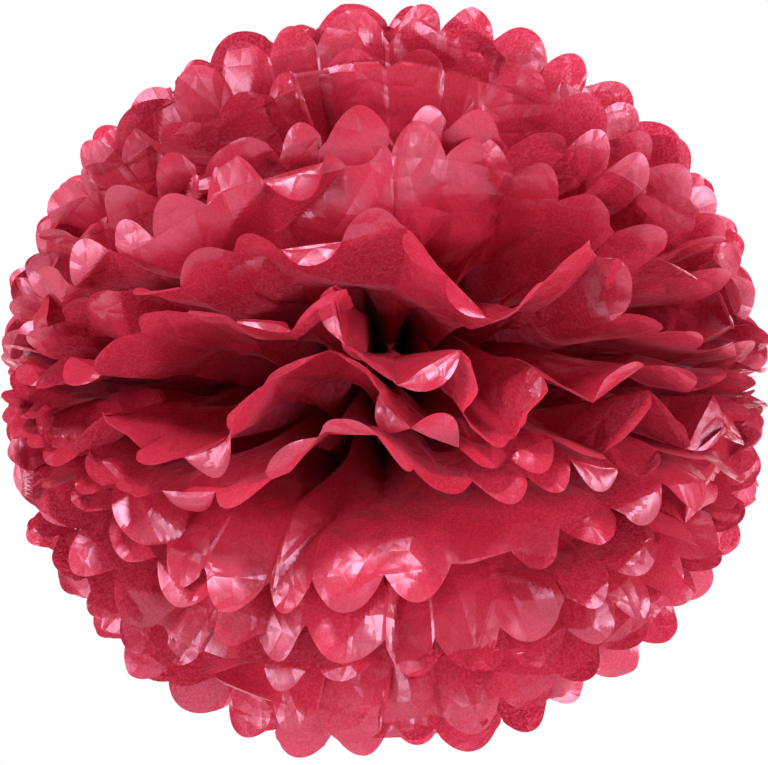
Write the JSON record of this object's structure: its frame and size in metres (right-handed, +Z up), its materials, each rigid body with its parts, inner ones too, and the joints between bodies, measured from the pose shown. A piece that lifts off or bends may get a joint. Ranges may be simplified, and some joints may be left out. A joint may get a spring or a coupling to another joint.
{
  "type": "tissue-paper pom-pom ball",
  "caption": "Hanging decoration ball of pleated tissue-paper sheets bound at the middle and pulled open in layers with scalloped edges.",
  "frame": {"origin": "middle of the bound waist, which is the middle of the opened ball", "axes": "+X along the waist towards one pole where all leaves end, -Y out of the front slit, +Z up; the sheets lie in the XZ plane when folded back flat"},
  "size_m": [0.3838, 0.3962, 0.3962],
  "materials": {
    "tissue_paper": "satin tissue",
    "wire": "satin"
  },
  "bodies": {
    "bound_waist": {"front_sheet_1_middle": "tissue_paper", "front_sheet_2_middle": "tissue_paper", "front_sheet_3_middle": "tissue_paper", "front_sheet_4_middle": "tissue_paper", "front_sheet_5_middle": "tissue_paper", "front_sheet_6_middle": "tissue_paper", "front_sheet_7_middle": "tissue_paper", "back_sheet_7_middle": "tissue_paper", "back_sheet_6_middle": "tissue_paper", "back_sheet_5_middle": "tissue_paper", "back_sheet_4_middle": "tissue_paper", "back_sheet_3_middle": "tissue_paper", "back_sheet_2_middle": "tissue_paper", "back_sheet_1_middle": "tissue_paper", "binding_wire": "wire"},
    "front_sheet_1_upper_leaf": {"front_sheet_1_upper_leaf": "tissue_paper"},
    "front_sheet_1_lower_leaf": {"front_sheet_1_lower_leaf": "tissue_paper"},
    "front_sheet_2_upper_leaf": {"front_sheet_2_upper_leaf": "tissue_paper"},
    "front_sheet_2_lower_leaf": {"front_sheet_2_lower_leaf": "tissue_paper"},
    "front_sheet_3_upper_leaf": {"front_sheet_3_upper_leaf": "tissue_paper"},
    "front_sheet_3_lower_leaf": {"front_sheet_3_lower_leaf": "tissue_paper"},
    "front_sheet_4_upper_leaf": {"front_sheet_4_upper_leaf": "tissue_paper"},
    "front_sheet_4_lower_leaf": {"front_sheet_4_lower_leaf": "tissue_paper"},
    "front_sheet_5_upper_leaf": {"front_sheet_5_upper_leaf": "tissue_paper"},
    "front_sheet_5_lower_leaf": {"front_sheet_5_lower_leaf": "tissue_paper"},
    "front_sheet_6_upper_leaf": {"front_sheet_6_upper_leaf": "tissue_paper"},
    "front_sheet_6_lower_leaf": {"front_sheet_6_lower_leaf": "tissue_paper"},
    "front_sheet_7_upper_leaf": {"front_sheet_7_upper_leaf": "tissue_paper"},
    "front_sheet_7_lower_leaf": {"front_sheet_7_lower_leaf": "tissue_paper"},
    "back_sheet_7_upper_leaf": {"back_sheet_7_upper_leaf": "tissue_paper"},
    "back_sheet_7_lower_leaf": {"back_sheet_7_lower_leaf": "tissue_paper"},
    "back_sheet_6_upper_leaf": {"back_sheet_6_upper_leaf": "tissue_paper"},
    "back_sheet_6_lower_leaf": {"back_sheet_6_lower_leaf": "tissue_paper"},
    "back_sheet_5_upper_leaf": {"back_sheet_5_upper_leaf": "tissue_paper"},
    "back_sheet_5_lower_leaf": {"back_sheet_5_lower_leaf": "tissue_paper"},
    "back_sheet_4_upper_leaf": {"back_sheet_4_upper_leaf": "tissue_paper"},
    "back_sheet_4_lower_leaf": {"back_sheet_4_lower_leaf": "tissue_paper"},
    "back_sheet_3_upper_leaf": {"back_sheet_3_upper_leaf": "tissue_paper"},
    "back_sheet_3_lower_leaf": {"back_sheet_3_lower_leaf": "tissue_paper"},
    "back_sheet_2_upper_leaf": {"back_sheet_2_upper_leaf": "tissue_paper"},
    "back_sheet_2_lower_leaf": {"back_sheet_2_lower_leaf": "tissue_paper"},
    "back_sheet_1_upper_leaf": {"back_sheet_1_upper_leaf": "tissue_paper"},
    "back_sheet_1_lower_leaf": {"back_sheet_1_lower_leaf": "tissue_paper"}
  },
  "joints": [
    {"name": "front_sheet_1_upper_fold", "type": "hinge", "parent": "bound_waist", "child": "front_sheet_1_upper_leaf", "pos_m": [0, -0.00582, 0.00145], "axis": [-1, 0, 0], "range_deg": [0, 63]},
    {"name": "front_sheet_1_lower_fold", "type": "hinge", "parent": "bound_waist", "child": "front_sheet_1_lower_leaf", "pos_m": [0, -0.00597, -0.00063], "axis": [1, 0, 0], "range_deg": [0, 71.01]},
    {"name": "front_sheet_2_upper_fold", "type": "hinge", "parent": "bound_waist", "child": "front_sheet_2_upper_leaf", "pos_m": [0, -0.00541, 0.0026], "axis": [-1, 0, 0], "range_deg": [0, 53.32]},
    {"name": "front_sheet_2_lower_fold", "type": "hinge", "parent": "bound_waist", "child": "front_sheet_2_lower_leaf", "pos_m": [0, -0.00568, -0.00195], "axis": [1, 0, 0], "range_deg": [0, 60.09]},
    {"name": "front_sheet_3_upper_fold", "type": "hinge", "parent": "bound_waist", "child": "front_sheet_3_upper_leaf", "pos_m": [0, -0.00477, 0.00364], "axis": [-1, 0, 0], "range_deg": [0, 43.63]},
    {"name": "front_sheet_3_lower_fold", "type": "hinge", "parent": "bound_waist", "child": "front_sheet_3_lower_leaf", "pos_m": [0, -0.0051, -0.00317], "axis": [1, 0, 0], "range_deg": [0, 49.16]},
    {"name": "front_sheet_4_upper_fold", "type": "hinge", "parent": "bound_waist", "child": "front_sheet_4_upper_leaf", "pos_m": [0, -0.00393, 0.00453], "axis": [-1, 0, 0], "range_deg": [0, 33.93]},
    {"name": "front_sheet_4_lower_fold", "type": "hinge", "parent": "bound_waist", "child": "front_sheet_4_lower_leaf", "pos_m": [0, -0.00426, -0.00423], "axis": [1, 0, 0], "range_deg": [0, 38.24]},
    {"name": "front_sheet_5_upper_fold", "type": "hinge", "parent": "bound_waist", "child": "front_sheet_5_upper_leaf", "pos_m": [0, -0.00293, 0.00524], "axis": [-1, 0, 0], "range_deg": [0, 24.24]},
    {"name": "front_sheet_5_lower_fold", "type": "hinge", "parent": "bound_waist", "child": "front_sheet_5_lower_leaf", "pos_m": [0, -0.00321, -0.00507], "axis": [1, 0, 0], "range_deg": [0, 27.32]},
    {"name": "front_sheet_6_upper_fold", "type": "hinge", "parent": "bound_waist", "child": "front_sheet_6_upper_leaf", "pos_m": [0, -0.00181, 0.00572], "axis": [-1, 0, 0], "range_deg": [0, 14.55]},
    {"name": "front_sheet_6_lower_fold", "type": "hinge", "parent": "bound_waist", "child": "front_sheet_6_lower_leaf", "pos_m": [0, -0.00199, -0.00566], "axis": [1, 0, 0], "range_deg": [0, 16.39]},
    {"name": "front_sheet_7_upper_fold", "type": "hinge", "parent": "bound_waist", "child": "front_sheet_7_upper_leaf", "pos_m": [0, -0.00061, 0.00597], "axis": [-1, 0, 0], "range_deg": [0, 4.86]},
    {"name": "front_sheet_7_lower_fold", "type": "hinge", "parent": "bound_waist", "child": "front_sheet_7_lower_leaf", "pos_m": [0, -0.00068, -0.00596], "axis": [1, 0, 0], "range_deg": [0, 5.47]},
    {"name": "back_sheet_7_upper_fold", "type": "hinge", "parent": "bound_waist", "child": "back_sheet_7_upper_leaf", "pos_m": [0, 0.00061, 0.00597], "axis": [1, 0, 0], "range_deg": [0, 4.86]},
    {"name": "back_sheet_7_lower_fold", "type": "hinge", "parent": "bound_waist", "child": "back_sheet_7_lower_leaf", "pos_m": [0, 0.00068, -0.00596], "axis": [-1, 0, 0], "range_deg": [0, 5.47]},
    {"name": "back_sheet_6_upper_fold", "type": "hinge", "parent": "bound_waist", "child": "back_sheet_6_upper_leaf", "pos_m": [0, 0.00181, 0.00572], "axis": [1, 0, 0], "range_deg": [0, 14.55]},
    {"name": "back_sheet_6_lower_fold", "type": "hinge", "parent": "bound_waist", "child": "back_sheet_6_lower_leaf", "pos_m": [0, 0.00199, -0.00566], "axis": [-1, 0, 0], "range_deg": [0, 16.39]},
    {"name": "back_sheet_5_upper_fold", "type": "hinge", "parent": "bound_waist", "child": "back_sheet_5_upper_leaf", "pos_m": [0, 0.00293, 0.00524], "axis": [1, 0, 0], "range_deg": [0, 24.24]},
    {"name": "back_sheet_5_lower_fold", "type": "hinge", "parent": "bound_waist", "child": "back_sheet_5_lower_leaf", "pos_m": [0, 0.00321, -0.00507], "axis": [-1, 0, 0], "range_deg": [0, 27.32]},
    {"name": "back_sheet_4_upper_fold", "type": "hinge", "parent": "bound_waist", "child": "back_sheet_4_upper_leaf", "pos_m": [0, 0.00393, 0.00453], "axis": [1, 0, 0], "range_deg": [0, 33.93]},
    {"name": "back_sheet_4_lower_fold", "type": "hinge", "parent": "bound_waist", "child": "back_sheet_4_lower_leaf", "pos_m": [0, 0.00426, -0.00423], "axis": [-1, 0, 0], "range_deg": [0, 38.24]},
    {"name": "back_sheet_3_upper_fold", "type": "hinge", "parent": "bound_waist", "child": "back_sheet_3_upper_leaf", "pos_m": [0, 0.00477, 0.00364], "axis": [1, 0, 0], "range_deg": [0, 43.63]},
    {"name": "back_sheet_3_lower_fold", "type": "hinge", "parent": "bound_waist", "child": "back_sheet_3_lower_leaf", "pos_m": [0, 0.0051, -0.00317], "axis": [-1, 0, 0], "range_deg": [0, 49.16]},
    {"name": "back_sheet_2_upper_fold", "type": "hinge", "parent": "bound_waist", "child": "back_sheet_2_upper_leaf", "pos_m": [0, 0.00541, 0.0026], "axis": [1, 0, 0], "range_deg": [0, 53.32]},
    {"name": "back_sheet_2_lower_fold", "type": "hinge", "parent": "bound_waist", "child": "back_sheet_2_lower_leaf", "pos_m": [0, 0.00568, -0.00195], "axis": [-1, 0, 0], "range_deg": [0, 60.09]},
    {"name": "back_sheet_1_upper_fold", "type": "hinge", "parent": "bound_waist", "child": "back_sheet_1_upper_leaf", "pos_m": [0, 0.00582, 0.00145], "axis": [1, 0, 0], "range_deg": [0, 63]},
    {"name": "back_sheet_1_lower_fold", "type": "hinge", "parent": "bound_waist", "child": "back_sheet_1_lower_leaf", "pos_m": [0, 0.00597, -0.00063], "axis": [-1, 0, 0], "range_deg": [0, 71.01]}
  ],
  "couplings": [
    {"joint": "front_sheet_1_lower_fold", "follows": "front_sheet_1_upper_fold", "ratio": 1.127},
    {"joint": "front_sheet_2_upper_fold", "follows": "front_sheet_1_upper_fold", "ratio": 0.84615},
    {"joint": "front_sheet_2_lower_fold", "follows": "front_sheet_1_upper_fold", "ratio": 0.9536},
    {"joint": "front_sheet_3_upper_fold", "follows": "front_sheet_1_upper_fold", "ratio": 0.69231},
    {"joint": "front_sheet_3_lower_fold", "follows": "front_sheet_1_upper_fold", "ratio": 0.78022},
    {"joint": "front_sheet_4_upper_fold", "follows": "front_sheet_1_upper_fold", "ratio": 0.53846},
    {"joint": "front_sheet_4_lower_fold", "follows": "front_sheet_1_upper_fold", "ratio": 0.60684},
    {"joint": "front_sheet_5_upper_fold", "follows": "front_sheet_1_upper_fold", "ratio": 0.38462},
    {"joint": "front_sheet_5_lower_fold", "follows": "front_sheet_1_upper_fold", "ratio": 0.43346},
    {"joint": "front_sheet_6_upper_fold", "follows": "front_sheet_1_upper_fold", "ratio": 0.23077},
    {"joint": "front_sheet_6_lower_fold", "follows": "front_sheet_1_upper_fold", "ratio": 0.26007},
    {"joint": "front_sheet_7_upper_fold", "follows": "front_sheet_1_upper_fold", "ratio": 0.076924},
    {"joint": "front_sheet_7_lower_fold", "follows": "front_sheet_1_upper_fold", "ratio": 0.08669},
    {"joint": "back_sheet_7_upper_fold", "follows": "back_sheet_1_upper_fold", "ratio": 0.076924},
    {"joint": "back_sheet_7_lower_fold", "follows": "back_sheet_1_upper_fold", "ratio": 0.08669},
    {"joint": "back_sheet_6_upper_fold", "follows": "back_sheet_1_upper_fold", "ratio": 0.23077},
    {"joint": "back_sheet_6_lower_fold", "follows": "back_sheet_1_upper_fold", "ratio": 0.26007},
    {"joint": "back_sheet_5_upper_fold", "follows": "back_sheet_1_upper_fold", "ratio": 0.38462},
    {"joint": "back_sheet_5_lower_fold", "follows": "back_sheet_1_upper_fold", "ratio": 0.43346},
    {"joint": "back_sheet_4_upper_fold", "follows": "back_sheet_1_upper_fold", "ratio": 0.53846},
    {"joint": "back_sheet_4_lower_fold", "follows": "back_sheet_1_upper_fold", "ratio": 0.60684},
    {"joint": "back_sheet_3_upper_fold", "follows": "back_sheet_1_upper_fold", "ratio": 0.69231},
    {"joint": "back_sheet_3_lower_fold", "follows": "back_sheet_1_upper_fold", "ratio": 0.78022},
    {"joint": "back_sheet_2_upper_fold", "follows": "back_sheet_1_upper_fold", "ratio": 0.84615},
    {"joint": "back_sheet_2_lower_fold", "follows": "back_sheet_1_upper_fold", "ratio": 0.9536},
    {"joint": "back_sheet_1_lower_fold", "follows": "back_sheet_1_upper_fold", "ratio": 1.127}
  ]
}
